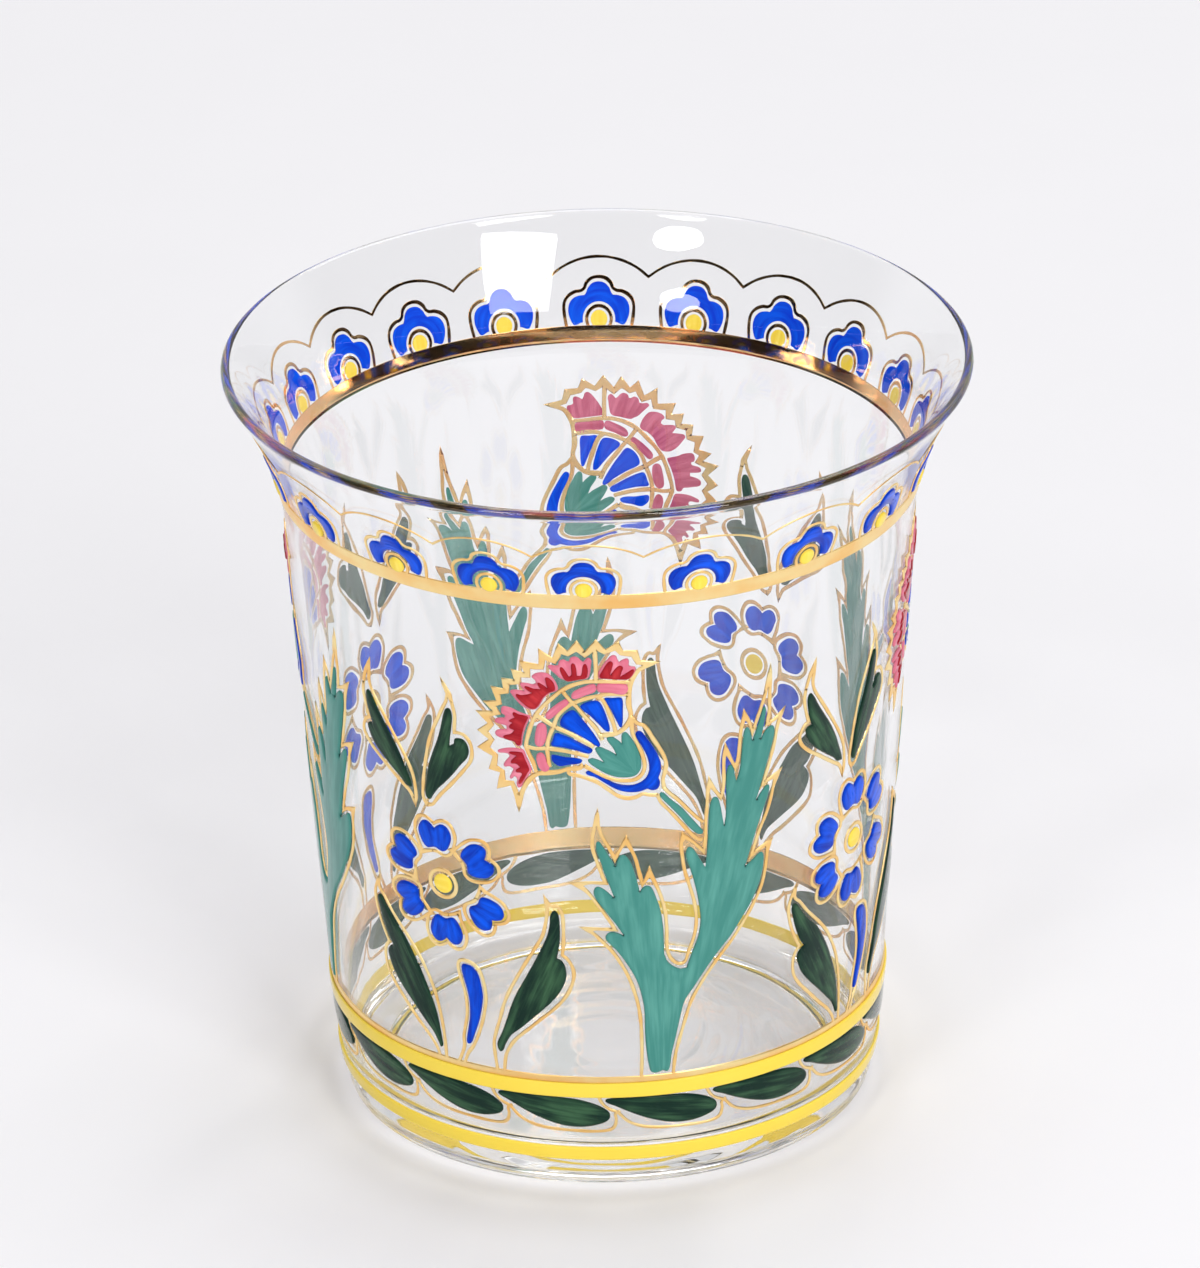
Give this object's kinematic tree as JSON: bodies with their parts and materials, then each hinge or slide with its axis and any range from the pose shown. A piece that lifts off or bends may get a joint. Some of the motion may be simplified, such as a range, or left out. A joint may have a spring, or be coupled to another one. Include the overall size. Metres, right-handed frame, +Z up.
{
  "type": "enamelled tea glass",
  "caption": "Footless tea glass with a flared rim, in clear blown glass with raised enamel flowers and leaves, gilt outlines and gilt and yellow bands.",
  "frame": {"origin": "middle of the foot, on the plane the glass stands on", "axes": "+Z up along the glass's axis; -Y towards the front, where the forked leaf and the carnation of one spray face; +X to the right seen from the front"},
  "size_m": [0.075, 0.075, 0.0792],
  "materials": {
    "clear_glass": "clear, mouth-blown, fire-polished lip",
    "gilt": "thin fired gold, soft satin outside, bright where it is seen through the glass",
    "yellow_enamel": "glossy fired enamel",
    "blue_enamel": "glossy fired enamel with lighter brush streaks",
    "teal_enamel": "glossy fired enamel",
    "green_enamel": "glossy fired enamel with lighter brush streaks",
    "pink_enamel": "glossy fired enamel",
    "red_enamel": "glossy fired enamel, a second coat over the pink"
  },
  "bodies": {
    "root": {"glass_body": "clear_glass", "rim_gilt_band": "gilt", "rim_scallop_line": "gilt", "floret_petals": "blue_enamel", "floret_dots": "yellow_enamel", "floret_gilt_lines": "gilt", "base_gilt_band": "gilt", "base_yellow_band": "yellow_enamel", "foot_yellow_band": "yellow_enamel", "garland_leaves": "green_enamel", "garland_gilt_lines": "gilt", "saz_leaves": "teal_enamel", "saz_gilt_lines": "gilt", "carnation_stems": "teal_enamel", "carnation_calyxes": "teal_enamel", "carnation_sepals": "blue_enamel", "carnation_wedges": "blue_enamel", "carnation_dashes": "pink_enamel", "carnation_petals": "pink_enamel", "carnation_petal_tips": "red_enamel", "carnation_gilt_lines": "gilt", "rosette_petals": "blue_enamel", "rosette_dots": "yellow_enamel", "rosette_gilt_lines": "gilt", "upper_leaves": "green_enamel", "upper_leaf_gilt_lines": "gilt", "lower_leaves": "green_enamel", "lower_leaf_gilt_lines": "gilt", "buds": "blue_enamel", "bud_gilt_lines": "gilt"}
  },
  "joints": []
}
